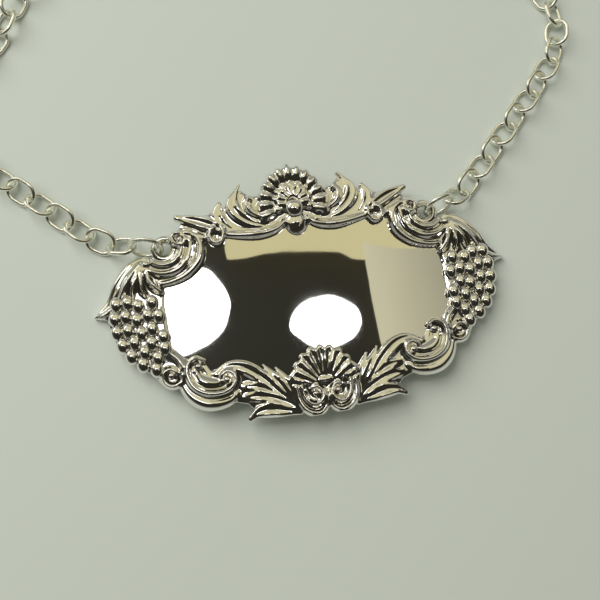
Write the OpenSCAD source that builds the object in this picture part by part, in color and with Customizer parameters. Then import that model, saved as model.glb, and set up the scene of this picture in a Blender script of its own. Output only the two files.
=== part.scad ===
// Wine label: a bowed, die-struck silver plaque with a relief border of shells,
// acanthus, scrolls and grapes, hung from an oval trace chain by two jump rings.
// Lengths are in millimetres. The label lies face up on the plane z = 0.

/* [Plaque] */
// Width over the two side leaf tips
plaque_w = 62; // [58:0.5:68]
// Thickness of the sheet at the plain reserve
plate_t = 0.8; // [0.6:0.05:1.2]
// Rise of the bowed middle over the side tips
bow = 2.9; // [2.5:0.1:3.4]
// Height of the tallest ridges over the sheet
relief_h = 1.7; // [1.2:0.1:2.2]
// Height of the crest's fan centre over the middle of the label
crest_y = 12; // [11.5:0.1:12.5]
// Depth of the lower shell's root below the middle of the label
shell_drop = 15.3; // [15:0.1:16]
// Diameter of the boss at the foot of the crest
boss_d = 2.3; // [1.9:0.1:2.5]
// Diameter of one grape
grape_d = 1.7; // [1.5:0.05:1.85]

/* [Eyelets] */
// Distance of each eyelet's centre from the side leaf's tip
eyelet_inset = 11.3; // [10.8:0.1:11.8]
// Height of the eyelets over the middle of the label
eyelet_y = 8.4; // [8:0.1:9]
// Diameter of the hole through each eyelet
eyelet_bore = 2; // [1.9:0.05:2.3]
// Width of the rim round each hole
eyelet_rim = 0.9; // [0.7:0.05:1]
// Thickness of each eyelet
eyelet_t = 1.1; // [0.9:0.05:1.2]

/* [Jump rings] */
// Outside diameter of a jump ring
ring_d = 5.3; // [5:0.1:6]
// Wire diameter of a jump ring
ring_wire = 0.65; // [0.5:0.05:0.7]
// Lean of the jump rings from the table, in degrees
ring_lean = 75; // [70:1:80]

/* [Chain] */
// Wire diameter of a chain link
link_wire = 0.65; // [0.5:0.05:0.7]
// Outside width of a chain link
link_w = 4; // [3.8:0.1:4.4]
// Outside length of a chain link
link_l = 5; // [4.8:0.1:5.4]
// Play between two linked wires
link_play = 0.2; // [0.15:0.01:0.25]
// Lean of the links from the table, in turn to each side, in degrees
link_lean = 34; // [32:1:45]

/* [Hidden] */
// Number of links in each half of the chain
left_links = 28;
right_links = 26;
// Headings of the links along the table, as [link number, degrees], left half and right half
left_ring_heading = 167;
left_headings = [
    [1, 162], [2, 150], [3, 136], [6, 138], [8, 136], [9, 122], [10, 108], [11, 90], [12, 66],
    [13, 44], [14, 36], [15, 50], [16, 64], [17, 60], [18, 44], [19, 28], [20, 12], [28, -11.5]];
right_ring_heading = 15;
right_headings = [
    [1, 30], [2, 44], [8, 46], [9, 50], [10, 60], [11, 76], [12, 94], [13, 114], [14, 134],
    [15, 152], [16, 162], [26, 172]];

half_w = plaque_w / 2;
eyelet_x = half_w - eyelet_inset;
// Unit of the motifs' strokes, which are drawn for a label 62 units wide
unit = plaque_w / 62;
// Places of the border's motifs on the right half, which the left half mirrors
crest_at = [0, crest_y];
tie_at = [12 * unit, crest_y - 3 * unit];
corner_at = [eyelet_x, eyelet_y];
leaf_at = [half_w - 7 * unit, 7 * unit];
grape_at = [half_w - 11 * unit, -1.5 * unit];
curl_at = [half_w - 9.8 * unit, -10.2 * unit];
scroll_at = [half_w - 15.2 * unit, -10.2 * unit];
spray_at = [4.2 * unit, -shell_drop - 2.5 * unit];
shell_at = [0, -shell_drop];

// Height of the ridges' feet over the sheet's underside
foot = 0.15;
// Steps of a curve between two of its points
curve_steps = 2;
// Section across a ridge, as [share of its half width, share of its height]
section = [[-1, 0], [0, 1], [1, 0]];
// Width of a fan, as a share of its height
fan_width = 0.85;
// Share of a bead's diameter that stands clear of what carries it
bead_show = 0.85;

// Radius of the arc round the outside of the grapes, and the pitch of the grapes
grape_arc = 9;
grape_pitch = 1.65;
// Inner edge of the grapes, as a distance from the grapes' arc centre, and their top and bottom
grape_edge = 1.5;
grape_top = 3.3;
grape_end = -7.6;

link_end_r = (link_w - link_wire) / 2;
link_straight = link_l - link_w;
link_pitch = link_l - 2 * link_wire - link_play;
link_z = link_end_r * sin(link_lean) + link_wire / 2;
ring_r = (ring_d - ring_wire) / 2;
// Place of the ring's wire in the eyelet, outwards from the hole's centre
ring_seat = 0.3;
ring_lift = 0.02;
ring_z = ring_r * sin(ring_lean) + ring_wire / 2 + ring_lift;

function link_name(side, i) = str(side, "_link_", i < 10 ? "0" : "", i);

// Underside of the bowed sheet
function ground(x) = bow * (1 - pow(x / half_w, 2));

// Point at share t of the smooth curve from point i to the next one in p
function curve_point(p, i, t) =
    let (a = p[max(i - 1, 0)], b = p[i], c = p[i + 1], d = p[min(i + 2, len(p) - 1)])
    (2 * b + (c - a) * t + (2 * a - 5 * b + 4 * c - d) * t * t + (3 * b - a - 3 * c + d) * t * t * t) / 2;

// Smooth curve through the points p
function curve(p) = concat(
    [for (i = [0:len(p) - 2]) for (k = [0:curve_steps - 1]) curve_point(p, i, k / curve_steps)],
    [p[len(p) - 1]]);

// Arc of radius r from angle a to angle b, or a spiral if it ends at radius r_end
function arc(r, a, b, n, r_end) = [
    for (k = [0:n])
        let (q = k / n, rr = r + ((is_undef(r_end) ? r : r_end) - r) * q, t = a + (b - a) * q)
        rr * [cos(t), sin(t)]];

// Value at share t along a ridge, from its values at the start, the middle and the end
function along(v, t) = t < 0.5 ? v[0] + (v[1] - v[0]) * 2 * t : v[1] + (v[2] - v[1]) * (2 * t - 1);

function heading_unit(a) = [cos(a), sin(a), 0];

// One ridge of the relief along a path: a sweep with half widths w and heights h, each given
// at the start, the middle and the end; path and w are in units, h is a share of relief_h
module ridge(at, path, w, h) {
    n = len(path);
    m = len(section);
    points = [
        for (i = [0:n - 1])
            let (
                d = path[min(i + 1, n - 1)] - path[max(i - 1, 0)],
                side = [-d[1], d[0]] / norm(d),
                t = i / (n - 1))
            for (s = section)
                let (p = at + unit * (path[i] + side * along(w, t) * s[0]))
                [p[0], p[1], ground(p[0]) + (s[1] == 0 ? foot : plate_t + relief_h * along(h, t) * s[1])]];
    faces = concat(
        [[for (j = [m - 1:-1:0]) j]],
        [[for (j = [0:m - 1]) (n - 1) * m + j]],
        [for (i = [0:n - 2]) for (j = [0:m - 1])
            [i * m + j, i * m + (j + 1) % m, (i + 1) * m + (j + 1) % m, (i + 1) * m + j]]);
    polyhedron(points, faces, convexity = 4);
}

// A round bead of d units, seated on the sheet
module bead(at, p, d) {
    q = at + unit * p;
    translate([q[0], q[1], ground(q[0]) + plate_t + (bead_show - 0.5) * unit * d])
        sphere(d = unit * d, $fn = 8);
}

// Ribs of a fan or a shell, from radius r0 to r1, spread evenly about straight up
module fan(at, ribs, step, r0, r1, w, h) {
    for (i = [0:ribs - 1]) {
        u = let (a = 90 + (i - (ribs - 1) / 2) * step) [fan_width * cos(a), sin(a)];
        ridge(at, [for (k = [0:2]) u * (r0 + (r1 - r0) * k / 2)], w, h);
    }
}

// Outline of the sheet under the relief, right half from the top to the bottom
function sheet_half() = concat(
    [for (p = [[0, 5.6], [3.2, 4.6], [5.2, 2], [6.6, 2.6], [7.6, 3.6], [9.3, 1.4], [10.9, 1.6],
        [12.6, 0.3]]) crest_at + unit * p],
    [for (p = [[4.8, 3.5], [4.8, 1.9]]) tie_at + unit * p],
    [for (p = [[-1.2, 1.3], [0.8, 0.9], [1.4, -0.4]]) corner_at + unit * p],
    [for (p = [[-1, 0.5], [1, -0.7], [2.9, -3.1], [4.6, -5.5], [6.95, -6.95]]) leaf_at + unit * p],
    [for (a = [4:-10:-70]) grape_at + (grape_arc - 0.5 * unit) * [cos(a), sin(a)]],
    [for (p = [[1.1, -1.3], [-0.2, -1.7], [-1.3, -1.6]]) curl_at + unit * p],
    [for (p = [[3.4, -2.8], [2, -4.3], [-0.2, -5], [-2.8, -4.7], [-4, -5.1]]) scroll_at + unit * p],
    [for (p = [[6.4, 0.5], [3.8, -0.2], [0.4, -0.4]]) spray_at + unit * p],
    [for (p = [[3, -3.4], [1.6, -3.5], [0.4, -2.7], [0, -2.6]]) shell_at + unit * p]);

// The bowed sheet, cut to its outline
module sheet() {
    half = sheet_half();
    steps = 20;
    top = [for (i = [0:steps]) let (x = half_w * (2 * i / steps - 1)) [x, ground(x) + plate_t]];
    under = [for (i = [0:steps]) let (x = half_w * (1 - 2 * i / steps)) [x, ground(x)]];
    intersection() {
        linear_extrude(height = bow + plate_t)
            polygon(concat(half, [for (i = [len(half) - 2:-1:1]) [-half[i][0], half[i][1]]]));
        rotate([90, 0, 0])
            linear_extrude(height = plaque_w, center = true)
                polygon(concat(top, under));
    }
}

// Two-tiered fan over a boss with its drop
module crest() {
    fan(crest_at, 13, 17.5, 3.1, 6.1, [0.45, 0.75, 0.65], [0.65, 0.9, 0.45]);
    fan(crest_at, 9, 25, 0.8, 3, [0.25, 0.55, 0.55], [0.9, 1, 0.8]);
    ridge(crest_at, [[0, -1.2], [0, -2.6], [0, -4.2]], [0.9, 1.4, 0.7], [0.5, 0.75, 0.4]);
    bead(crest_at, [0, -0.8], boss_d / unit);
}

// Acanthus that curls away from each side of the crest
module crest_leaf() {
    ridge(crest_at, curve([[10.4, -2.7], [8, -3.3], [5.4, -3.6], [3.1, -3.2], [1.6, -2]]),
        [0.5, 0.6, 0.35], [0.5, 0.75, 0.6]);
    ridge(crest_at, curve([[4.4, -2.5], [8.6, -1.7], [9.9, 1.8]]), [0.4, 0.55, 0.15], [0.6, 0.7, 0.35]);
    ridge(crest_at, curve([[4.9, -1.7], [8.3, -0.5], [8.6, 2.3], [7.5, 4.55]]),
        [0.4, 0.65, 0.06], [0.75, 1, 0.3]);
    ridge(crest_at, curve([[5.2, -0.6], [7.4, 0.4], [6.2, 2.6]]), [0.4, 0.5, 0.25], [0.85, 0.95, 0.7]);
    ridge(crest_at, curve([[5.2, 0.4], [6.3, 1.1], [5.5, 2]]), [0.35, 0.45, 0.25], [0.8, 0.9, 0.7]);
    ridge(crest_at, curve([[9.4, -2], [11.6, 0], [11.1, 2.4]]), [0.5, 0.65, 0.15], [0.55, 0.7, 0.35]);
}

// Pointed ribbon leaf with the small hooked tie at its root
module ribbon_leaf() {
    ridge(tie_at, curve([[-1.4, 2.2], [5.6, 4.1]]), [0.45, 0.4, 0.06], [0.5, 0.5, 0.25]);
    ridge(tie_at, curve([[-1.1, 1.5], [5.6, 4]]), [0.45, 0.5, 0.08], [0.75, 0.7, 0.25]);
    ridge(tie_at, curve([[0.3, 0.9], [4.4, 2.2], [5.45, 3.8]]), [0.45, 0.5, 0.12], [0.55, 0.6, 0.25]);
    ridge(tie_at, curve([[1.2, -0.4], [3.4, 1], [5.2, 1.4]]), [0.4, 0.5, 0.35], [0.5, 0.6, 0.6]);
    ridge(tie_at, curve([[-1.1, 0.9], [-0.5, -1.1], [0.8, -0.5], [0.2, 1.2]]),
        [0.4, 0.42, 0.4], [0.8, 0.8, 0.8]);
}

// Corner scroll of three ridges round the eyelet, with a volute at its inner end
module corner_scroll() {
    ridge(corner_at, arc(4.5, 120, 325, 11, 4), [0.55, 0.7, 0.5], [0.8, 0.85, 0.7]);
    ridge(corner_at, arc(3.4, 150, 325, 9, 3.3), [0.4, 0.5, 0.4], [0.9, 1, 0.8]);
    ridge(corner_at, arc(2.5, 170, 318, 8, 2.6), [0.3, 0.4, 0.3], [0.7, 0.8, 0.6]);
    ridge(corner_at, curve([[-2.7, 2.5], [-1.5, 1.2], [-3, 0.2]]), [0.4, 0.35, 0.3], [0.7, 0.75, 0.8]);
    bead(corner_at, [-2.6, 0.8], 1.1);
    bead(corner_at, [2.9, -2], 1.3);
}

// Lug that the eyelet's hole goes through
module eyelet_lug() {
    translate([eyelet_x, eyelet_y, ground(eyelet_x)])
        cylinder(d = eyelet_bore + 2 * eyelet_rim, h = eyelet_t, $fn = 24);
}

// Side acanthus: strands that part over the grapes and run out to the leaf's tip
module side_leaf() {
    ridge(leaf_at, curve([[-1.5, 0.7], [2.4, -1.9], [7, -6.95]]), [0.5, 0.6, 0.06], [0.45, 0.65, 0.15]);
    ridge(leaf_at, curve([[-0.4, 0.2], [2.4, -2.9], [4.5, -5.9]]), [0.4, 0.55, 0.15], [0.7, 0.9, 0.5]);
    ridge(leaf_at, curve([[-0.5, -0.2], [1.5, -3.2], [2.3, -5.4]]), [0.4, 0.5, 0.2], [0.75, 1, 0.75]);
    ridge(leaf_at, curve([[-0.6, -0.8], [0.4, -3.3], [0, -5.1]]), [0.4, 0.5, 0.2], [0.75, 1, 0.8]);
    ridge(leaf_at, curve([[-0.9, -1.4], [-1.1, -3.2], [-2.7, -5.3]]), [0.4, 0.5, 0.25], [0.7, 0.95, 0.7]);
    ridge(leaf_at, curve([[7, -6.95], [4.2, -6]]), [0.06, 0.45, 0.4], [0.15, 0.4, 0.5]);
}

// Bunch of grapes in staggered arcs
module grapes() {
    arcs = floor(grape_arc / grape_pitch);
    for (j = [0:arcs - 1]) {
        r = grape_arc - (j + 0.55) * grape_pitch;
        turn = grape_pitch / r * 180 / PI;
        for (a = [22 - (j % 2) * turn / 2:-turn:-75]) {
            p = r * [cos(a), sin(a)];
            if (p[0] > grape_edge && p[1] < grape_top && p[1] > grape_end)
                translate([
                    grape_at[0] + p[0], grape_at[1] + p[1],
                    ground(grape_at[0] + p[0]) + plate_t + grape_d * 0.2])
                    sphere(d = grape_d, $fn = 6);
        }
    }
}

// Stem below the grapes that runs into a small spiral
module stem_curl() {
    stem = curve([[1.6, 3.9], [-1, 2.4], [-1.75, 0.8]]);
    ridge(curl_at, concat(stem, arc(1.75, 185, 520, 10, 0.85)), [0.4, 0.4, 0.3], [0.5, 0.65, 0.75]);
    bead(curl_at, [0, 0], 1.1);
}

// Lower scroll with a curl at each end
module lower_scroll() {
    ridge(scroll_at, curve([[0.8, 1.4], [2.9, 1.2], [2.6, -2.1], [-0.6, -3.6], [-3.3, -2.3], [-2.2, -0.7],
        [-1.4, -1.3]]), [0.35, 0.5, 0.35], [0.75, 1, 0.75]);
    ridge(scroll_at, curve([[3.8, 0.6], [3.2, -3.2], [-0.4, -5.1], [-3.2, -4]]),
        [0.4, 0.7, 0.4], [0.5, 0.6, 0.5]);
    ridge(scroll_at, curve([[2.2, 0], [1, -2.2], [-1.6, -2.3]]), [0.35, 0.5, 0.35], [0.6, 0.7, 0.6]);
    bead(scroll_at, [1.5, 0.6], 1.2);
    bead(scroll_at, [-2.2, -1.9], 1.2);
}

// Leaf sprays on each side of the lower shell
module leaf_spray() {
    ridge(spray_at, curve([[11, 6.9], [8.6, 8.2], [4.8, 6], [0.2, 0.2]]),
        [0.35, 0.55, 0.3], [0.65, 0.9, 0.55]);
    ridge(spray_at, curve([[7.4, 6.6], [3.6, 3.2], [1.2, 1]]), [0.4, 0.5, 0.25], [0.6, 0.75, 0.5]);
    ridge(spray_at, curve([[4.7, 7.6], [2.4, 4.2], [0, 0.4]]), [0.25, 0.5, 0.3], [0.6, 0.85, 0.55]);
    ridge(spray_at, curve([[2.7, 6.8], [1.1, 3.2], [0, 1.2]]), [0.25, 0.5, 0.3], [0.55, 0.8, 0.55]);
    ridge(spray_at, curve([[8.6, 3], [4.8, 3.1], [1, 0.6]]), [0.15, 0.5, 0.3], [0.35, 0.75, 0.5]);
    ridge(spray_at, curve([[8.7, 2.7], [4.4, 2], [0.6, 0.2]]), [0.15, 0.5, 0.3], [0.3, 0.6, 0.5]);
    ridge(spray_at, curve([[6.2, 1.2], [2.2, 0.5], [0.4, -0.2]]), [0.15, 0.5, 0.3], [0.4, 0.65, 0.5]);
    ridge(spray_at, curve([[7.3, -0.3], [5.4, 0.3], [0.4, -0.5]]), [0.08, 0.55, 0.35], [0.15, 0.5, 0.4]);
}

// Half of the volutes that carry the lower shell
module shell_volute() {
    ridge(shell_at, curve([[4.3, 0.6], [3.4, -2.8], [0.9, -3.2], [0.3, -1.2]]),
        [0.35, 0.4, 0.35], [0.6, 0.65, 0.7]);
    ridge(shell_at, curve([[3.6, 0.4], [2.8, -2], [0.9, -1.7], [1.1, 0.1], [2.2, 0]]),
        [0.35, 0.4, 0.25], [0.7, 0.8, 0.8]);
    bead(shell_at, [1.6, -0.8], 1);
}

// Everything that the die strikes, on both halves
module struck_piece() {
    sheet();
    crest();
    fan(shell_at, 9, 17, 1.4, 6, [0.25, 0.6, 0.7], [0.55, 0.95, 0.5]);
    for (m = [0, 1]) mirror([m, 0, 0]) {
        crest_leaf();
        ribbon_leaf();
        corner_scroll();
        eyelet_lug();
        side_leaf();
        grapes();
        stem_curl();
        lower_scroll();
        leaf_spray();
        shell_volute();
    }
}

// The plaque: the struck piece, held to its width over the leaf tips, with its eyelets pierced
module plaque() {
    color("silver")
        difference() {
            resize([plaque_w, 0, 0]) struck_piece();
            for (x = [-eyelet_x, eyelet_x])
                translate([x, eyelet_y, -bow]) cylinder(d = eyelet_bore, h = 3 * bow, $fn = 48);
        }
}

// Centre of a jump ring, which passes through its eyelet
function ring_centre(side) =
    side_sign(side) * [eyelet_x, 0, 0] + [0, eyelet_y, ring_z]
    + (ring_seat + ring_r) * heading_unit(ring_heading(side));

function side_sign(side) = side == "left" ? -1 : 1;
function ring_heading(side) = side == "left" ? left_ring_heading : right_ring_heading;
function link_heading(side, i) = lookup(i, side == "left" ? left_headings : right_headings);

// Where a link hangs in the one before it: half way between their two wires
function link_start(side, i) = i == 1
    ? ring_centre(side) + (ring_r - (ring_wire + link_play) / 2) * heading_unit(ring_heading(side))
    : link_end(side, i - 1);

// The first link comes down from the ring to the table, and the rest lie on it
function link_drop(side, i) = i == 1 ? asin((ring_z - link_z) / link_pitch) : 0;

function link_run(side, i) =
    let (a = link_heading(side, i), d = link_drop(side, i))
    link_pitch * [cos(d) * cos(a), cos(d) * sin(a), -sin(d)];

function link_end(side, i) = link_start(side, i) + link_run(side, i);

// A jump ring, closed, seen in the plane of its wire
module jump_ring(side) {
    color("gainsboro")
        translate(ring_centre(side))
            rotate([side_sign(side) * ring_lean, 0, ring_heading(side)])
                rotate_extrude($fn = 64) translate([ring_r, 0]) circle(d = ring_wire, $fn = 32);
}

// A chain link: round wire bent to an oval with two straight sides
module chain_link(side, i) {
    lean = side_sign(side) * (i % 2 == 0 ? link_lean : -link_lean);
    color("gainsboro")
        translate(link_start(side, i) + link_run(side, i) / 2)
            rotate([lean, link_drop(side, i), link_heading(side, i)]) {
                for (end = [0, 180])
                    rotate([0, 0, end])
                        translate([link_straight / 2, 0, 0])
                            rotate([0, 0, -90])
                                rotate_extrude(angle = 180, $fn = 64)
                                    translate([link_end_r, 0]) circle(d = link_wire, $fn = 32);
                for (y = [-link_end_r, link_end_r])
                    translate([0, y, 0])
                        rotate([0, 90, 0])
                            cylinder(d = link_wire, h = link_straight, center = true, $fn = 32);
            }
}

plaque();
jump_ring("left");  // left_jump_ring
jump_ring("right");  // right_jump_ring
for (i = [1:left_links]) chain_link("left", i);
for (i = [1:right_links]) chain_link("right", i);
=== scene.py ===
"""Dresses a silver wine label: its plate, relief, beads, grapes, rings, chain and stage."""

import math

import bpy
import numpy as np
from bpy.props import FloatProperty, FloatVectorProperty, PointerProperty
from mathutils import Matrix, Vector


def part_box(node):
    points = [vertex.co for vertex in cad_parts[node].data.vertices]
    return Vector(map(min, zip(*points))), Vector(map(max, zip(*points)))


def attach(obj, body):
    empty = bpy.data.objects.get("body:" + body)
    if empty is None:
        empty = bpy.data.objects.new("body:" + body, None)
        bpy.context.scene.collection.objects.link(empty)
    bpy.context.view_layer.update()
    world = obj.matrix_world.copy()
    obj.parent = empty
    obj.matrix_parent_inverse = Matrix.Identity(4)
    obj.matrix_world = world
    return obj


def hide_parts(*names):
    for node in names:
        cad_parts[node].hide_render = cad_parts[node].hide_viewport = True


bl_info = {
    "name": "Silver wine label",
    "version": (1, 0, 0),
    "blender": (4, 5, 0),
    "location": "View3D > Sidebar > Label",
    "description": "Makes a wine label's plate, relief border, grapes, rings, chain and stage",
    "category": "Object",
}

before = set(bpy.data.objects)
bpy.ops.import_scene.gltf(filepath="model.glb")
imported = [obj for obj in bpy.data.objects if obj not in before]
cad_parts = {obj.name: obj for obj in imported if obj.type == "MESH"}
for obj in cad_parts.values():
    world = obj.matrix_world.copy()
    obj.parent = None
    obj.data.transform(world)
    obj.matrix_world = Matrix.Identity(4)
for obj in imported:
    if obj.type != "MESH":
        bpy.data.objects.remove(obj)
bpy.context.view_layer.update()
PLAQUE_LOW, PLAQUE_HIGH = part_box("plaque")
MM = 0.001

# Noise scales, per metre, of the silver's cloudy wear, its fine grain and its slow waves
CLOUD_SCALE, GRAIN_SCALE, SWELL_SCALE = 160.0, 2600.0, 110.0
# How far the clouds of wear shade the silver, and the shade that they draw it towards
WEAR, WORN_SHADE = 0.22, 0.82
# Shares of the roughness that are even and that follow the clouds, and what the grain adds
EVEN_ROUGH, CLOUD_ROUGH, GRAIN_ROUGH = 0.7, 0.6, 0.008
# Least painted crease shade in a hollow, what the clouds add to it, and how much rougher the silver
# is under full painted crease shade
LEAST_CREASE_SHADE, CLOUD_CREASE_SHADE, CREASE_SHADE_ROUGH = 0.55, 0.6, 0.1
# Distance between the points of an arc, in millimetres
ARC_PITCH = 0.12
# Half outlines run on to this x in millimetres, so that no edge is drawn up the middle
PAST_MIDDLE = -5


def length(name, description, default):
    """A size in metres for a property group."""
    return FloatProperty(
        name=name, description=description, default=default, unit="LENGTH", precision=5)


def factor(name, description, default):
    """A share of one for a property group."""
    return FloatProperty(
        name=name, description=description, default=default, subtype="FACTOR", min=0, max=1)


def colour(name, description, default):
    """A linear colour for a property group."""
    return FloatVectorProperty(
        name=name, description=description, default=default, subtype="COLOR", size=3)


class PlaqueSizes(bpy.types.PropertyGroup):
    """Sizes of the struck plaque."""

    half_width: length("Half width", "From the middle to a side leaf's tip", PLAQUE_HIGH.x)
    bow: length("Bow", "Rise of the plate's middle over its side tips", 2.9 * MM)
    plate: length("Plate", "Thickness of the plate", 0.8 * MM)
    relief: length("Relief", "Height of the tallest ridges over the plate", 1.4 * MM)
    foot: length("Foot", "Height of the ridges' feet over the plate's back", 0.15 * MM)
    crest_y: length("Crest", "Height of the crest's fan over the middle", 12 * MM)
    shell_y: length("Shell", "Height of the lower shell's root over the middle", -15.3 * MM)
    eyelet_x: length("Eyelet across", "From the middle to an eyelet's centre", 19.7 * MM)
    eyelet_y: length("Eyelet up", "Height of the eyelets over the middle", 8.4 * MM)
    eyelet_bore: length("Eyelet bore", "Diameter of the hole through an eyelet", 2.0 * MM)
    boss: length("Boss", "Diameter of the boss at the foot of the crest", 2.8 * MM)
    boss_height: length("Boss height", "Height of the boss, with its foot in the plate", 2.15 * MM)
    grape: length("Grape", "Width of one grape", 1.9 * MM)
    grape_length: length("Grape length", "Length of one grape", 2.35 * MM)
    grape_height: length("Grape height", "Height of a grape, with its foot in the plate", 1.6 * MM)
    grape_pitch: length("Grape pitch", "From one grape to the next along an arc", 2.05 * MM)
    mound: length("Mound", "Height of the ground between the ridges over the plate", 0.3 * MM)
    grid: length("Grid", "Pitch of the relief's mesh", 0.115 * MM)


class SilverFinish(bpy.types.PropertyGroup):
    """Colours and polish of the silver."""

    polished: colour("Polished", "Colour of polished silver", (0.93, 0.915, 0.875))
    # Wire colour: silver, with a warm olive tint painted in as a stand-in for the greenish floor
    # that the links reflect
    wire: colour("Wire", "Colour of the chain's wire", (0.98, 0.97, 0.86))
    # Colour of the painted shade that darkens the relief's creases and hollows
    crease_shade_colour: colour("Crease shade", "Colour of the silver in the hollows", (0.2, 0.18, 0.145))
    mirror_roughness: factor("Reserve roughness", "Roughness of the reserve", 0.02)
    relief_roughness: factor("Relief roughness", "Roughness of the relief", 0.05)
    wire_roughness: factor("Wire roughness", "Roughness of the wire", 0.25)
    reserve_wave: length("Wave", "Height of the reserve's faint waves", 0.05 * MM)


class StageSizes(bpy.types.PropertyGroup):
    """Floor, lights and camera."""

    floor: colour("Floor", "Colour of the floor", (0.605, 0.645, 0.565))
    room: colour("Room", "Colour of the light that the room gives", (0.27, 0.27, 0.245))
    beige: colour("Beige", "Light of the card behind", (0.6, 0.55, 0.31))
    cream: colour("Cream", "Light of the right card's near side", (0.6, 0.57, 0.4))
    grey: colour("Grey", "Light of the right card's far side", (0.31, 0.295, 0.22))
    shade: colour("Shade", "Light of the dark card overhead", (0.012, 0.01, 0.006))
    key: FloatProperty(
        name="Key", description="Power of the lamp at the upper left", default=3.75, unit="POWER")
    camera: FloatVectorProperty(
        name="Camera", description="Place of the camera",
        default=(-15.99 * MM, -24.91 * MM, 116.26 * MM), subtype="TRANSLATION", size=3)
    lens: FloatProperty(
        name="Lens", description="Focal length on a 36 mm sensor", default=48.0, unit="CAMERA")


class Wire:
    """A node socket that takes part in Python sums, in shader trees and in geometry trees."""

    def __init__(self, tree, socket=None):
        self.tree = tree
        self.socket = socket

    def node(self, kind, settings=None, values=None, out=0):
        """Adds a node of any kind, with its settings first and then its values or links."""
        node = self.tree.nodes.new(kind)
        for key, value in (settings or {}).items():
            setattr(node, key, value)
        for key, value in (values or {}).items():
            if isinstance(value, Wire):
                self.tree.links.new(value.socket, node.inputs[key])
            else:
                node.inputs[key].default_value = value
        return Wire(self.tree, node.outputs[out])

    def math(self, operation, first, second):
        """A value worked out from two others."""
        return self.node("ShaderNodeMath", {"operation": operation}, {0: first, 1: second})

    def mix(self, share, first, second):
        """A colour between two others, by the node's sockets for colours."""
        colours = {0: share, 6: first, 7: second}
        return self.node("ShaderNodeMix", {"data_type": "RGBA"}, colours, 2)

    def __add__(self, other):
        return self.math("ADD", self, other)

    __radd__ = __add__

    def __sub__(self, other):
        return self.math("SUBTRACT", self, other)

    def __rsub__(self, other):
        return self.math("SUBTRACT", other, self)

    def __mul__(self, other):
        return self.math("MULTIPLY", self, other)

    __rmul__ = __mul__


def silver(name, polished, crease_shade_colour, roughness, hollow=None, wave=0.0):
    """Polished silver, with faint wear and waves, and painted shade where the named attribute is
    high.
    """
    material = bpy.data.materials.new(name)
    material.use_nodes = True
    tree = material.node_tree
    shader = tree.nodes["Principled BSDF"]
    shader.inputs["Metallic"].default_value = 1.0
    at = Wire(tree)
    place = at.node("ShaderNodeTexCoord", out="Object")
    cloud, grain = (
        at.node("ShaderNodeTexNoise", {}, {"Vector": place, "Scale": scale, "Detail": detail})
        for scale, detail in ((CLOUD_SCALE, 5.0), (GRAIN_SCALE, 3.0)))
    worn = [channel * WORN_SHADE for channel in polished]
    tone = at.mix(cloud * WEAR, (*polished, 1), (*worn, 1))
    rough = roughness * EVEN_ROUGH + roughness * CLOUD_ROUGH * cloud + GRAIN_ROUGH * grain
    # Painted shade: the relief's hollows are drawn towards the crease shade colour and made a
    # little rougher
    if hollow:
        depth = at.node("ShaderNodeAttribute", {"attribute_name": hollow}, {}, "Fac")
        stain = at.math("MINIMUM", depth * (LEAST_CREASE_SHADE + CLOUD_CREASE_SHADE * cloud), 1.0)
        tone = at.mix(stain, tone, (*crease_shade_colour, 1))
        rough = rough + stain * CREASE_SHADE_ROUGH
    bump = at.node(
        "ShaderNodeBump", {}, {"Height": grain, "Strength": 0.01, "Distance": 0.02 * MM}, "Normal")
    if wave:
        swell = at.node(
            "ShaderNodeTexNoise", {}, {"Vector": place, "Scale": SWELL_SCALE, "Detail": 1.0})
        bump = at.node(
            "ShaderNodeBump", {}, {"Height": swell, "Distance": wave, "Normal": bump}, "Normal")
    for socket, value in (("Base Color", tone), ("Roughness", rough), ("Normal", bump)):
        tree.links.new(value.socket, shader.inputs[socket])
    return material


def ground(p, x):
    """Height of the plate's back, which is bowed across its width."""
    return p.bow * (1 - (x / p.half_width) ** 2)


def smooth(piece, angle):
    """Shades a piece smooth, but for edges that turn by more than the angle in degrees."""
    piece.data.polygons.foreach_set("use_smooth", [True] * len(piece.data.polygons))
    piece.data.set_sharp_from_angle(angle=math.radians(angle))


def new_piece(name, vertices, faces=()):
    """A mesh object of that name, linked to the scene."""
    mesh = bpy.data.meshes.new(name)
    mesh.from_pydata(vertices, [], list(faces))
    piece = bpy.data.objects.new(name, mesh)
    bpy.context.scene.collection.objects.link(piece)
    return piece


def give_attribute(piece, name, values):
    """Stores one number for each of a piece's points."""
    piece.data.attributes.new(name, "FLOAT", "POINT").data.foreach_set("value", values)


def settle(piece, tree, values):
    """Runs a node tree on a piece, and keeps what it makes as the piece's plain mesh."""
    modifier = piece.modifiers.new("form", "NODES")
    modifier.node_group = tree
    for item in tree.interface.items_tree:
        if item.in_out == "INPUT" and item.name in values:
            modifier[item.identifier] = values[item.name]
    depsgraph = bpy.context.evaluated_depsgraph_get()
    made = bpy.data.meshes.new_from_object(piece.evaluated_get(depsgraph), depsgraph=depsgraph)
    piece.modifiers.remove(modifier)
    drawn = piece.data
    piece.data = made
    bpy.data.meshes.remove(drawn)
    made.name = piece.name


def dress_plaque(piece):
    """Lets a piece of the plaque stand for its solid."""
    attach(piece, "plaque")
    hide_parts("plaque")


def new_tree(name, whole_numbers):
    """A geometry tree with a geometry, named whole numbers and a material as inputs."""
    tree = bpy.data.node_groups.new(name, "GeometryNodeTree")
    face = tree.interface
    face.new_socket("Geometry", in_out="INPUT", socket_type="NodeSocketGeometry")
    for number in whole_numbers:
        face.new_socket(number, in_out="INPUT", socket_type="NodeSocketInt")
    face.new_socket("Material", in_out="INPUT", socket_type="NodeSocketMaterial")
    face.new_socket("Geometry", in_out="OUTPUT", socket_type="NodeSocketGeometry")
    entry = tree.nodes.new("NodeGroupInput")
    given = {socket.name: Wire(tree, socket) for socket in entry.outputs if socket.name}
    return tree, given


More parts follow.
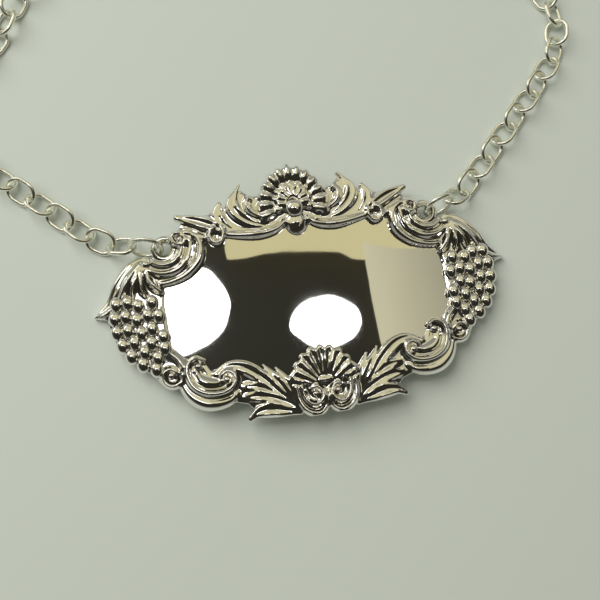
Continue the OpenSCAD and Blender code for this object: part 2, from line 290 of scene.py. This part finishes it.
def end_tree(tree, made, material):
    """Ends a geometry tree in smooth, realized geometry of one material."""
    at = Wire(tree)
    shaded = at.node("GeometryNodeSetShadeSmooth", {}, {"Geometry": made})
    whole = at.node("GeometryNodeRealizeInstances", {}, {"Geometry": shaded})
    painted = at.node("GeometryNodeSetMaterial", {}, {"Geometry": whole, "Material": material})
    leave = tree.nodes.new("NodeGroupOutput")
    tree.links.new(painted.socket, leave.inputs[0])


def bead_tree():
    """Sets a bead of its own width, length and height on each drawn point."""
    tree, given = new_tree("beads", ("Segments", "Rings"))
    at = Wire(tree)
    wide, long, tall = (
        at.node("GeometryNodeInputNamedAttribute", {"data_type": "FLOAT"}, {"Name": name})
        for name in ("width", "length", "height"))
    size = at.node("ShaderNodeCombineXYZ", {}, {"X": wide, "Y": long, "Z": tall})
    ball = at.node(
        "GeometryNodeMeshUVSphere", {},
        {"Segments": given["Segments"], "Rings": given["Rings"], "Radius": 0.5})
    points = at.node("GeometryNodeMeshToPoints", {}, {"Mesh": given["Geometry"]})
    balls = at.node(
        "GeometryNodeInstanceOnPoints", {}, {"Points": points, "Instance": ball, "Scale": size})
    end_tree(tree, balls, given["Material"])
    return tree


def curve(points, steps=20):
    """A smooth run through the points."""
    run = []
    last = len(points) - 1
    for i in range(last):
        a, b, c, d = (Vector(points[min(max(k, 0), last)]) for k in (i - 1, i, i + 1, i + 2))
        for k in range(steps):
            t = k / steps
            bend = (2 * a - 5 * b + 4 * c - d) * t * t + (3 * b - a - 3 * c + d) * t ** 3
            run.append((2 * b + (c - a) * t + bend) / 2)
    return run + [Vector(points[-1])]


def arc(radius, start, end, last_radius=None):
    """An arc about the origin, or a spiral if it ends at another radius."""
    last_radius = radius if last_radius is None else last_radius
    steps = int(radius * math.radians(abs(end - start)) / ARC_PITCH)
    run = []
    for k in range(steps + 1):
        t = k / steps
        turn = math.radians(start + (end - start) * t)
        run.append((radius + (last_radius - radius) * t) * Vector((math.cos(turn), math.sin(turn))))
    return run


def eased(values, t):
    """The value at share t of a stroke, from its values at the start, the middle and the end."""
    low, high, t = (values[0], values[1], 2 * t) if t < 0.5 else (values[1], values[2], 2 * t - 1)
    return low + (high - low) * t * t * (3 - 2 * t)


def outline_distance(x, y, points):
    """Distance of each grid point from a closed outline, less than nothing inside it."""
    least = np.full_like(x, np.inf)
    inside = np.zeros(x.shape, bool)
    for (x0, y0), (x1, y1) in zip(points, points[1:] + points[:1]):
        dx, dy = x1 - x0, y1 - y0
        share = np.clip(((x - x0) * dx + (y - y0) * dy) / (dx * dx + dy * dy), 0, 1)
        least = np.minimum(least, np.hypot(x - x0 - share * dx, y - y0 - share * dy))
        crossed = (y0 > y) != (y1 > y)
        inside ^= crossed & (x < x0 + dx * (y - y0) / (dy if dy else 1))
    return np.where(inside, -least, least)


class Relief:
    """Height map of the struck relief over the plaque's right half, on a grid in millimetres."""

    # How square a ridge's back is, and the depth and half width of a hollow one's groove, as shares
    ridge_power, groove_depth, groove_reach = 0.6, 0.65, 0.75
    # A fan's width for its height, the depth of its scallops and how near its rim the cups end
    fan_squeeze, scallop, rim_power = 0.85, 0.6, 8
    # Grid steps within which a point is drawn to the outline, and the least squared slope there
    snap_reach, least_slope = 0.7, 0.25
    # Reach over which hollows are felt, and the depth of one that gets the full painted crease
    # shade
    stain_reach, stain_depth = 0.5, 0.25

    def __init__(self, reach, low, high, step):
        self.step = step
        columns = np.arange(0, reach + step, step)
        rows = np.arange(math.floor(low / step), math.ceil(high / step) + 1) * step
        self.x, self.y = np.meshgrid(columns, rows, indexing="ij")
        self.rise = np.zeros_like(self.x)
        self.out = np.full_like(self.x, np.inf)

    def mound(self, outer, inner, height, slope):
        """A low mound between the sheet's outline and the reserve's."""
        away = np.maximum(
            outline_distance(self.x, self.y, outer), -outline_distance(self.x, self.y, inner))
        share = np.clip(-away / slope, 0, 1)
        self.rise = np.maximum(self.rise, height * share * share * (3 - 2 * share))
        self.out = np.minimum(self.out, away)

    def strike(self, at, path, widths, heights, hollow, relief):
        """One ridge along a path, round-backed, or with a hollow along its middle."""
        run = np.array([(at.x + point.x, at.y + point.y) for point in path])
        shares = np.linspace(0, 1, len(run))
        wide = np.array([eased(widths, t) for t in shares])
        tall = np.array([eased(heights, t) for t in shares]) * relief
        margin = wide.max() + 2 * self.step
        low, high = run.min(0) - margin, run.max(0) + margin
        here = (self.x > low[0]) & (self.x < high[0]) & (self.y > low[1]) & (self.y < high[1])
        if not here.any():
            return
        across = self.x[here][:, None] - run[:, 0]
        up = self.y[here][:, None] - run[:, 1]
        away = np.hypot(across, up) / wide
        nearest = away.argmin(1)
        share = away.min(1)
        back = np.clip(1 - share ** 2, 0, 1) ** self.ridge_power
        if hollow:
            groove = np.clip(1 - (share / self.groove_reach) ** 2, 0, 1)
            back *= 1 - self.groove_depth * groove
        self.rise[here] = np.maximum(self.rise[here], tall[nearest] * back)
        self.out[here] = np.minimum(self.out[here], (share - 1) * wide[nearest])

    def flute(self, at, ribs, step, inner, outer, heights, dip, relief):
        """A fan of flutes about straight up, cupped by their dip or round, with a scalloped rim."""
        across, up = (self.x - at.x) / self.fan_squeeze, self.y - at.y
        away = np.hypot(across, up)
        turn = np.degrees(np.arctan2(across, up)) / step
        cup = 1 - (2 * (turn - np.round(turn))) ** 2
        reach = outer - self.scallop * (1 - cup)
        share = np.clip((away - inner) / (reach - inner), 0, 1)
        cupped = 1 - dip * cup * (1 - share ** self.rim_power)
        rise = relief * np.interp(share, (0, 0.5, 1), heights) * cupped
        out = np.maximum(away - reach, inner - away)
        out = np.maximum(out, (np.abs(turn) - ribs / 2) * math.radians(step) * away)
        self.rise = np.where(out < 0, rise, self.rise)
        self.out = np.minimum(self.out, out)

    def pierce(self, at, radius):
        """A round hole through the sheet."""
        self.out = np.maximum(self.out, radius - np.hypot(self.x - at.x, self.y - at.y))

    @staticmethod
    def blur(field, rounds):
        """The field with each point drawn towards its neighbours, that many times."""
        for _ in range(rounds):
            tall = np.pad(field, ((1, 1), (0, 0)), mode="reflect")
            field = 0.5 * field + 0.25 * (tall[2:] + tall[:-2])
            wide = np.pad(field, ((0, 0), (1, 1)), mode="edge")
            field = 0.5 * field + 0.25 * (wide[:, 2:] + wide[:, :-2])
        return field

    def soften(self, rounds):
        """Rounds the creases a little."""
        self.rise = Relief.blur(self.rise, rounds)

    def solid(self, name, rows, p):
        """A closed piece of some rows, mirrored to both halves, with its outline drawn smooth."""
        slope_x, slope_y = np.gradient(self.out, self.step)
        steep = np.maximum(slope_x ** 2 + slope_y ** 2, self.least_slope)
        near = np.abs(self.out) < self.snap_reach * self.step
        snap = np.where(near, self.out, 0) / steep
        x, y = self.x - snap * slope_x, self.y - snap * slope_y
        x[0] = 0
        fields = (x, -1), (y, 1), (self.rise, 1), (self.out, 1), (self.hollows(), 1)
        x, y, rise, out, hollow = (
            np.concatenate([sign * field[:0:-1], field])[:, rows] for field, sign in fields)
        kept = out < self.snap_reach * self.step
        index = np.arange(x.size).reshape(x.shape)
        first, last = slice(None, -1), slice(1, None)
        corners = (first, first), (last, first), (last, last), (first, last)
        whole = np.all([kept[corner] for corner in corners], 0)
        quads = np.stack([index[corner] for corner in corners], -1)[whole]
        edges = np.stack([quads, np.roll(quads, -1, 1)], -1).reshape(-1, 2)
        rim = edges[~np.isin(edges @ (x.size, 1), edges @ (1, x.size))]
        sides = np.stack([rim[:, 0], rim[:, 0] + x.size, rim[:, 1] + x.size, rim[:, 1]], -1)
        faces = np.concatenate([quads, quads[:, ::-1] + x.size, sides])
        base = ground(p, x * MM)
        top = np.stack([x * MM, y * MM, base + p.plate + rise * MM], -1).reshape(-1, 3)
        under = np.stack([x * MM, y * MM, base + p.foot], -1).reshape(-1, 3)
        used, faces = np.unique(faces, return_inverse=True)
        vertices = np.concatenate([top, under])[used]
        # Each point's hollow depth goes with it, as the mask that paints shade into the creases
        crease_shadings = np.concatenate([hollow.ravel(), hollow.ravel()])[used]
        piece = new_piece(name, vertices.tolist(), faces.reshape(-1, 4).tolist())
        give_attribute(piece, "hollow", crease_shadings.astype(np.float32))
        return piece

    def hollows(self):
        """How far each grid point lies below what is round it: the mask of the painted crease
        shade.
        """
        deep = Relief.blur(self.rise, int(self.stain_reach / self.step)) - self.rise
        return np.clip(deep / self.stain_depth, 0, 1)


def leaves(at, table, hollow=False):
    """Round-backed or hollow strokes about one place, from points, half widths and heights."""
    return [(at, curve(points), widths, heights, hollow) for points, widths, heights in table]


def crest_strokes(p):
    """Drop under the crest's fan, and the acanthus on its right."""
    at = Vector((0, p.crest_y / MM))
    return leaves(at, [
        ([(0, -2.5), (0, -2.9), (0, -3.3)], (1.6, 1.7, 1.4), (0.7, 0.8, 0.7)),
        ([(10.6, -3), (8.4, -3.5), (5.6, -3.8), (3.1, -3.4), (1.7, -2.4)],
         (0.5, 0.75, 0.45), (0.5, 0.8, 0.6)),
        ([(5.1, -1.2), (6.5, -0.3), (6.9, 1), (6.3, 2)], (0.35, 0.6, 0.4), (0.7, 1, 0.8)),
    ]) + leaves(at, [
        ([(3.1, -2.9), (6.2, -2), (8.2, -0.5), (9, 1.3), (8.4, 2.8), (7.4, 4.2)],
         (0.4, 1, 0.15), (0.6, 1.15, 0.5)),
        ([(9.2, -2.7), (10.8, -1.2), (11.3, 0.5), (10.8, 1.7)], (0.4, 0.8, 0.4), (0.6, 1, 0.7)),
    ], hollow=True)


def tie_strokes(p):
    """Pointed ribbon leaf with the hooked tie at its root."""
    at = Vector((12, p.crest_y / MM - 3))
    return leaves(at, [
        ([(5.3, 3.7), (2.9, 2.8), (0.5, 1.6), (-1.2, 0.6)], (0.45, 1.1, 0.5), (0.8, 1.15, 0.8)),
    ], hollow=True) + leaves(at, [
        ([(1.2, -0.4), (2.4, 0.4), (3.8, 1.2), (5.2, 1.4)], (0.4, 0.55, 0.4), (0.5, 0.6, 0.6)),
        ([(-1.1, 0.9), (-1, -0.4), (-0.3, -1.2), (0.7, -0.8), (0.9, 0.3), (0.2, 1.2)],
         (0.4, 0.45, 0.4), (0.8, 0.85, 0.8)),
    ])


def corner_strokes(p):
    """Scroll of nested ridges round the eyelet, a volute at its inner end and the eyelet's rim."""
    at = Vector((p.eyelet_x, p.eyelet_y)) / MM
    rounds = [
        (arc(3.85, 168, 320), (0.5, 0.72, 0.45), (0.75, 0.9, 0.7)),
        (arc(2.6, 168, 320), (0.45, 0.65, 0.4), (0.8, 0.9, 0.7)),
        (arc(1.5, 0, 360), (0.5, 0.5, 0.5), (0.35, 0.35, 0.35))]
    return [(at, *turn, False) for turn in rounds] + leaves(at, [
        ([(-2.2, 2), (-4, 1.5), (-5.1, 0.2), (-5.2, -1.4), (-4.6, -2.9), (-2.8, -4.4),
          (-0.7, -5.1), (1.1, -5.2)], (0.35, 0.78, 0.5), (0.7, 0.85, 0.6)),
        ([(-2.2, 2), (-1.4, 1.7), (-1.5, 0.7), (-2.2, 0.1), (-3, 0.2), (-3.2, 1), (-2.6, 1.4)],
         (0.4, 0.36, 0.28), (0.7, 0.85, 0.9)),
    ])


def side_strokes(p):
    """Side acanthus that parts over the grapes and runs out to its tip along a hollow leaf."""
    at = Vector((p.half_width / MM - 7, 7))
    return leaves(at, [
        ([(-1.4, 0.4), (0.7, -0.3), (2.8, -2.5), (4.5, -5), (6.9, -6.9)],
         (0.4, 0.8, 0.1), (0.35, 0.9, 0.3)),
    ], hollow=True) + leaves(at, [
        ([(-0.6, -0.4), (1.1, -2), (2.4, -4), (3.6, -5.9)], (0.4, 0.5, 0.2), (0.7, 1, 0.6)),
        ([(-0.8, -0.8), (0.4, -2.5), (1.1, -4), (1.4, -5.4)], (0.4, 0.48, 0.2), (0.75, 1, 0.75)),
        ([(-1, -1.2), (-0.4, -2.8), (-0.4, -4), (-0.9, -5.1)], (0.4, 0.5, 0.2), (0.75, 1, 0.8)),
        ([(-1.3, -1.6), (-1.5, -2.9), (-2.2, -4.1), (-3.2, -5)], (0.4, 0.6, 0.3), (0.7, 0.95, 0.7)),
        ([(6.9, -6.9), (5.4, -6.8), (4.2, -6)], (0.1, 0.5, 0.45), (0.3, 0.5, 0.5)),
    ])


def lower_strokes(p):
    """Stem with its curl below the grapes, and the lower scroll with a curl at each end."""
    at = Vector((p.half_width / MM - 9.8, -10.2))
    stem = curve([(1.6, 3.9), (0, 3.3), (-1.2, 2.2), (-1.75, 0.8)])
    curl = arc(1.75, 185, 520, 0.75)
    strokes = [(at, stem + curl, (0.42, 0.45, 0.32), (0.5, 0.7, 0.8), False)]
    at = Vector((p.half_width / MM - 15.2, -10.2))
    return strokes + leaves(at, [
        ([(3.9, 0.6), (4, -1.4), (3.1, -3.3), (1.4, -4.6), (-0.6, -5), (-2.4, -4.7), (-3.2, -4)],
         (0.5, 0.95, 0.5), (0.55, 0.75, 0.55)),
        ([(0.8, 1.4), (1.8, 1.9), (2.9, 1.2), (3.2, -0.4), (2.6, -2.1), (1.2, -3.2), (-0.6, -3.6),
          (-2.3, -3.3), (-3.3, -2.3), (-3.2, -1.2), (-2.2, -0.7), (-1.4, -1.3)],
         (0.4, 0.65, 0.35), (0.8, 1, 0.8)),
        ([(2, 0.2), (1.7, -1), (0.8, -1.8), (-0.5, -2.1), (-1.6, -1.9)],
         (0.5, 0.85, 0.4), (0.55, 0.65, 0.55)),
    ])


def spray_strokes(p):
    """Hollow leaves that spread from the lower shell's foot."""
    return leaves(Vector((4.2, p.shell_y / MM - 2.5)), [
        ([(0, -0.4), (2, 0.1), (4, 0.6), (5.8, 0.5), (7.1, -0.2)],
         (0.4, 1.15, 0.35), (0.6, 1.15, 0.6)),
        ([(0.4, 0.5), (3.6, 2.2), (6.1, 2.75), (8, 2.7)], (0.35, 0.9, 0.2), (0.6, 1.15, 0.4)),
        ([(2.4, 2.4), (5, 3.9), (8.2, 4.5)], (0.3, 0.75, 0.2), (0.6, 1.1, 0.4)),
        ([(0.6, 0.9), (2.6, 3), (4.7, 5.4), (6.9, 7.1), (9, 7.6), (10.9, 6.8)],
         (0.35, 1.05, 0.4), (0.6, 1.15, 0.7)),
        ([(0.4, 1.1), (2.4, 4.2), (4.1, 7)], (0.3, 0.8, 0.15), (0.6, 1.1, 0.5)),
        ([(0.2, 1.4), (1.3, 4.1), (2.4, 6.3)], (0.3, 0.65, 0.15), (0.6, 1, 0.5)),
    ], hollow=True)


def shell_strokes(p):
    """Volutes that carry the lower shell."""
    at = Vector((0, p.shell_y / MM))
    return leaves(at, [
        ([(4.3, 0.8), (4.1, -1.4), (3.2, -3), (1.7, -3.5), (0.5, -2.8), (0.3, -1.2)],
         (0.4, 0.48, 0.38), (0.65, 0.75, 0.75)),
        ([(3.5, 0.6), (3.3, -1), (2.6, -2.1), (1.6, -2.3), (0.8, -1.6), (0.75, -0.5), (1.4, 0.2),
          (2.2, 0)], (0.38, 0.45, 0.28), (0.8, 0.9, 0.9)),
        ([(0, 0.9), (1.2, 1.1), (2.4, 0.8)], (0.55, 0.6, 0.45), (0.7, 0.8, 0.7)),
    ])


def edge_at(points, x):
    """Height of a plate's edge at a distance from the upright centre line."""
    for (x0, y0), (x1, y1) in zip(points, points[1:]):
        if x <= x1:
            return y0 + (y1 - y0) * (x - x0) / (x1 - x0)
    return points[-1][1]


STROKE_MAKERS = (
    crest_strokes, tie_strokes, corner_strokes, side_strokes, lower_strokes, spray_strokes,
    shell_strokes)

# Upper and lower edge of the plate's right half, and the reserve's outline, in millimetres
TOP_EDGE = [
    (0, 17.4), (2, 17), (3.6, 15.8), (5, 14), (6.2, 14.3), (7.4, 15.4), (9, 13.8), (10.2, 13),
    (11.2, 13.5), (12.6, 12.4), (16.4, 12.5), (17.2, 11), (17.8, 9.4), (18.4, 7.2), (19.7, 6.6),
    (21, 7.1), (22, 7.7), (24, 7.3), (26, 5.2), (28, 2.4), (30.4, 0.3), (30.8, 0.05)]
LOW_EDGE = [
    (0, -17.4), (0.6, -18.1), (1.8, -18.6), (3.2, -18.4), (4.4, -17.9), (8, -17.8), (10.2, -17.2),
    (11.2, -15.9), (13.6, -15.1), (16, -15.2), (18.2, -14.3), (19.6, -12.6), (20.4, -11.9),
    (21.8, -11.9), (22.9, -10.9), (23.6, -9.7), (25.5, -8.1), (27.2, -6.1), (28.4, -4.1),
    (29, -1.6), (29.2, -0.6), (30.4, 0), (30.8, 0)]
RESERVE = [
    (PAST_MIDDLE, 8.5), (2.6, 8.7), (5, 8.4), (10, 9), (11, 8.2), (13.8, 8.2), (14.6, 6.4),
    (15.8, 4.8), (17.4, 3.7), (20.4, 2.9), (20.8, 0), (20.6, -6), (18.8, -8.1), (16.4, -8.9),
    (15.7, -10.4), (13.4, -10.1), (11, -10.7), (9, -12.1), (7.4, -12.8), (5, -13), (2.6, -10.6),
    (PAST_MIDDLE, -10)]


class LABEL_OT_plate(bpy.types.Operator):
    """Make the bowed plate with its mirror reserve"""

    bl_idname = "label.plate"
    bl_label = "Plate"

    columns, rows = 240, 56
    crease = 40

    def execute(self, context):
        p = context.scene.label_plaque
        finish = context.scene.label_finish
        reach = TOP_EDGE[-1][0]
        vertices = []
        for thick in (p.plate, 0.0):
            for i in range(self.columns + 1):
                x = reach * (2 * i / self.columns - 1)
                high, low = edge_at(TOP_EDGE, abs(x)), edge_at(LOW_EDGE, abs(x))
                for j in range(self.rows + 1):
                    y = low + (high - low) * j / self.rows
                    vertices.append((x * MM, y * MM, ground(p, x * MM) + thick))
        stride = self.rows + 1
        sheet = (self.columns + 1) * stride
        faces = []
        for i in range(self.columns):
            for j in range(self.rows):
                a = i * stride + j
                faces.append((a, a + stride, a + stride + 1, a + 1))
                faces.append((sheet + a, sheet + a + 1, sheet + a + stride + 1, sheet + a + stride))
            for j, turn in ((0, 1), (self.rows, -1)):
                a, b = i * stride + j, (i + 1) * stride + j
                faces.append((a, sheet + a, sheet + b, b)[::turn])
        for i, turn in ((0, -1), (self.columns, 1)):
            for j in range(self.rows):
                a = i * stride + j
                faces.append((a, sheet + a, sheet + a + 1, a + 1)[::turn])
        piece = new_piece("plaque_plate", vertices, faces)
        smooth(piece, self.crease)
        piece.data.materials.append(silver(
            "plate_silver", finish.polished, finish.crease_shade_colour, finish.mirror_roughness,
            wave=finish.reserve_wave))
        dress_plaque(piece)
        return {"FINISHED"}


class LABEL_OT_relief(bpy.types.Operator):
    """Make the struck relief border with its pierced eyelets"""

    bl_idname = "label.relief"
    bl_label = "Relief border"

    mound_slope = 0.5
    soft_rounds = 6
    crease = 80

    def execute(self, context):
        p = context.scene.label_plaque
        finish = context.scene.label_finish
        tall = p.relief / MM
        relief = Relief(
            p.half_width / MM, PLAQUE_LOW.y / MM, PLAQUE_HIGH.y / MM, p.grid / MM)
        sheet = [
            (PAST_MIDDLE, TOP_EDGE[0][1]), *TOP_EDGE,
            *LOW_EDGE[::-1], (PAST_MIDDLE, LOW_EDGE[0][1])]
        relief.mound(sheet, RESERVE, p.mound / MM, self.mound_slope)
        for maker in STROKE_MAKERS:
            for stroke in maker(p):
                relief.strike(*stroke, tall)
        crest, shell = (Vector((0, y / MM)) for y in (p.crest_y, p.shell_y))
        relief.flute(crest, 13, 17.5, 3, 6.3, (0.2, 0.5, 0.42), -0.9, tall)
        relief.flute(crest, 9, 25, 0.8, 3.3, (1, 1.1, 1), 0.45, tall)
        relief.flute(shell, 9, 17, 1.4, 6.1, (0.7, 1, 0.85), 0.45, tall)
        relief.pierce(Vector((p.eyelet_x, p.eyelet_y)) / MM, p.eyelet_bore / MM / 2)
        relief.soften(self.soft_rounds)
        middle = int(np.argmin(np.abs(relief.y[0])))
        # The relief's silver paints shade into its hollows by their hollow attribute
        material = silver(
            "relief_silver", finish.polished, finish.crease_shade_colour, finish.relief_roughness, "hollow")
        lower, upper = slice(0, middle + 1), slice(middle, None)
        for name, rows in (("plaque_lower_relief", lower), ("plaque_upper_relief", upper)):
            piece = relief.solid(name, rows, p)
            smooth(piece, self.crease)
            piece.data.materials.append(material)
            dress_plaque(piece)
        return {"FINISHED"}


class LABEL_OT_beads(bpy.types.Operator):
    """Make the grapes and the beads in the scrolls' eyes"""

    bl_idname = "label.beads"
    bl_label = "Grapes and beads"

    # Share of a bead that stands over the plate, and the faces round it and up it
    show = 0.84
    segments, rings = 24, 14
    # Outer reach of the grapes' arcs, their distance in pitches, and the degrees that they span
    outer_arc, arc_gap = 9.1, 0.77
    arc_starts, arc_end = (20, 34, 48, 60, 70), -80
    # Bounds of the grapes about the arcs' middle
    inner_x, low_y, high_y = 1, -7.8, 3.6

    def execute(self, context):
        p = context.scene.label_plaque
        finish = context.scene.label_finish
        half = p.half_width / MM
        crest, shell = p.crest_y / MM, p.shell_y / MM
        eyelet = Vector((p.eyelet_x, p.eyelet_y)) / MM
        beads = [
            (eyelet.x - 2.4, eyelet.y + 0.9, 0.9), (eyelet.x + 2.9, eyelet.y - 2, 1.3),
            (half - 9.8, -10.2, 1.1), (half - 13.7, -9.6, 1.2), (half - 17.4, -12.1, 1.2),
            (1.6, shell - 0.8, 1)]
        spots = [(x, y, d, d, d) for x, y, d in beads]
        grape = (p.grape / MM, p.grape_length / MM, p.grape_height / MM)
        spots += [(x, y, *grape) for x, y in self.grapes(p)]
        spots += [(-x, y, *size) for x, y, *size in spots]
        spots.append((0, crest - 0.8, p.boss / MM, p.boss / MM, p.boss_height / MM))
        x, y, wide, long, tall = np.array(spots).T * MM
        places = np.stack([x, y, ground(p, x) + p.plate + (self.show - 0.5) * tall], -1)
        piece = new_piece("plaque_grapes_and_beads", places.tolist())
        for name, values in (("width", wide), ("length", long), ("height", tall)):
            give_attribute(piece, name, values.astype(np.float32))
        material = silver("bead_silver", finish.polished, finish.crease_shade_colour, finish.relief_roughness)
        settle(piece, bead_tree(), {
            "Segments": self.segments, "Rings": self.rings, "Material": material})
        dress_plaque(piece)
        return {"FINISHED"}

    def grapes(self, p):
        """Places of the grapes on the right, in staggered arcs."""
        pitch = p.grape_pitch / MM
        at = Vector((p.half_width / MM - 11, -1.5))
        places = []
        for j, start in enumerate(self.arc_starts):
            radius = self.outer_arc - (self.arc_gap * j + 0.5) * pitch
            turn = math.degrees(pitch / radius)
            angle = start - (j % 2) * turn / 2
            while angle >= self.arc_end:
                bearing = math.radians(angle)
                spot = radius * Vector((math.cos(bearing), math.sin(bearing)))
                if spot.x > self.inner_x and self.low_y < spot.y < self.high_y:
                    places.append(tuple(at + spot))
                angle -= turn
        return places


class LABEL_OT_chain(bpy.types.Operator):
    """Finish the jump rings and the chain's links"""

    bl_idname = "label.chain"
    bl_label = "Rings and chain"

    def execute(self, context):
        finish = context.scene.label_finish
        material = silver("wire_silver", finish.wire, finish.crease_shade_colour, finish.wire_roughness)
        for name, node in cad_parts.items():
            if name != "plaque":
                node.data.materials.clear()
                node.data.materials.append(material)
        return {"FINISHED"}


class LABEL_OT_stage(bpy.types.Operator):
    """Make the floor, the lamps, the reflecting cards and the camera"""

    bl_idname = "label.stage"
    bl_label = "Stage"

    floor_half = 2
    floor_roughness = 0.9
    # Width of the camera's sensor in millimetres, and the nearest thing that it sees in metres
    sensor, nearest = 36, 0.01
    # Which way the picture's right and top point
    camera_right, camera_up = (0.9805, -0.1740, 0.0915), (0.1514, 0.9652, 0.2127)

    def lamp(self, context, name, place, size, power, aim=False):
        """A soft lamp that faces straight down, or the middle of the label."""
        light = bpy.data.lights.new(name, "AREA")
        light.shape = "ELLIPSE"
        light.size, light.size_y = (side * MM for side in size)
        light.energy = power
        lamp = bpy.data.objects.new(name, light)
        lamp.location = Vector(place) * MM
        if aim:
            lamp.rotation_euler = (-lamp.location).to_track_quat("-Z", "Y").to_euler()
        context.scene.collection.objects.link(lamp)

    def card(self, name, low, high, z, near, far, drop=0):
        """A glowing card over the table, tinted from left to right, whose right may drop lower."""
        outline = (low, (low[0], high[1]), high, (high[0], low[1] - drop))
        corners = [(x * MM, y * MM, z * MM) for x, y in outline]
        piece = new_piece(name, corners, [(0, 1, 2, 3)])
        material = bpy.data.materials.new(name)
        material.use_nodes = True
        shader = material.node_tree.nodes["Principled BSDF"]
        shader.inputs["Base Color"].default_value = (0, 0, 0, 1)
        shader.inputs["Emission Strength"].default_value = 1.0
        at = Wire(material.node_tree)
        place = at.node("ShaderNodeTexCoord", out="Object")
        x = at.node("ShaderNodeSeparateXYZ", {}, {"Vector": place})
        across = (x - low[0] * MM) * (1 / ((high[0] - low[0]) * MM))
        tint = at.mix(across, (*near, 1), (*far, 1))
        material.node_tree.links.new(tint.socket, shader.inputs["Emission Color"])
        piece.data.materials.append(material)
        for kind in ("camera", "shadow", "diffuse"):
            setattr(piece, f"visible_{kind}", False)

    def execute(self, context):
        stage = context.scene.label_stage
        half = self.floor_half
        corners = [(-half, -half, 0), (half, -half, 0), (half, half, 0), (-half, half, 0)]
        floor = new_piece("floor", corners, [(0, 1, 2, 3)])
        material = bpy.data.materials.new("floor_card")
        material.use_nodes = True
        shader = material.node_tree.nodes["Principled BSDF"]
        shader.inputs["Base Color"].default_value = (*stage.floor, 1)
        shader.inputs["Roughness"].default_value = self.floor_roughness
        floor.data.materials.append(material)
        self.lamp(context, "left_window", (-95, 62, 300), (108, 48), 0.052)
        self.lamp(context, "high_window", (55, 44, 300), (77, 28), 0.02)
        self.lamp(context, "room_window", (-330, 320, 480), (680, 680), stage.key, aim=True)
        self.card("shade_card", (-1200, -1200), (1200, 420), 320, stage.shade, stage.shade)
        self.card("back_card", (-35, 85), (230, 104), 300, stage.beige, stage.beige, drop=16)
        self.card("far_card", (-420, 104), (420, 460), 300, stage.beige, stage.cream)
        self.card("right_card", (109, -60), (230, 84), 298, stage.cream, stage.grey)
        world = context.scene.world or bpy.data.worlds.new("room")
        context.scene.world = world
        world.use_nodes = True
        world.node_tree.nodes["Background"].inputs["Color"].default_value = (*stage.room, 1)
        context.scene.view_settings.view_transform = "Standard"
        self.set_camera(context, stage)
        return {"FINISHED"}

    def set_camera(self, context, stage):
        """A camera over the label, at the viewing angle of the stage."""
        lens = bpy.data.cameras.new("camera")
        lens.lens = stage.lens
        lens.sensor_width = self.sensor
        lens.clip_start = self.nearest
        camera = bpy.data.objects.new("camera", lens)
        right, up = Vector(self.camera_right), Vector(self.camera_up)
        back = right.cross(up).normalized()
        turn = Matrix((right, up, back)).transposed().to_4x4()
        camera.matrix_world = Matrix.Translation(Vector(stage.camera)) @ turn
        context.scene.collection.objects.link(camera)
        context.scene.camera = camera


class LABEL_PT_panel(bpy.types.Panel):
    """Lists the label's pieces and their sizes"""

    bl_idname = "LABEL_PT_panel"
    bl_label = "Silver wine label"
    bl_space_type = "VIEW_3D"
    bl_region_type = "UI"
    bl_category = "Label"

    def draw(self, context):
        scene = context.scene
        for operator in OPERATORS:
            self.layout.operator(operator.bl_idname)
        for group in (scene.label_plaque, scene.label_finish, scene.label_stage):
            box = self.layout.box()
            for name in group.__annotations__:
                box.prop(group, name)


GROUPS = (PlaqueSizes, SilverFinish, StageSizes)
OPERATORS = (LABEL_OT_stage, LABEL_OT_plate, LABEL_OT_relief, LABEL_OT_beads, LABEL_OT_chain)


def register():
    """Registers the classes, and gives every scene the sizes."""
    for made in (*GROUPS, *OPERATORS, LABEL_PT_panel):
        bpy.utils.register_class(made)
    bpy.types.Scene.label_plaque = PointerProperty(type=PlaqueSizes)
    bpy.types.Scene.label_finish = PointerProperty(type=SilverFinish)
    bpy.types.Scene.label_stage = PointerProperty(type=StageSizes)


def unregister():
    """Takes the sizes and the classes away again."""
    del bpy.types.Scene.label_plaque, bpy.types.Scene.label_finish, bpy.types.Scene.label_stage
    for made in reversed((*GROUPS, *OPERATORS, LABEL_PT_panel)):
        bpy.utils.unregister_class(made)


def main():
    """Makes the stage and every piece."""
    register()
    bpy.ops.label.stage()
    bpy.ops.label.plate()
    bpy.ops.label.relief()
    bpy.ops.label.beads()
    bpy.ops.label.chain()


if __name__ == "__main__":
    main()
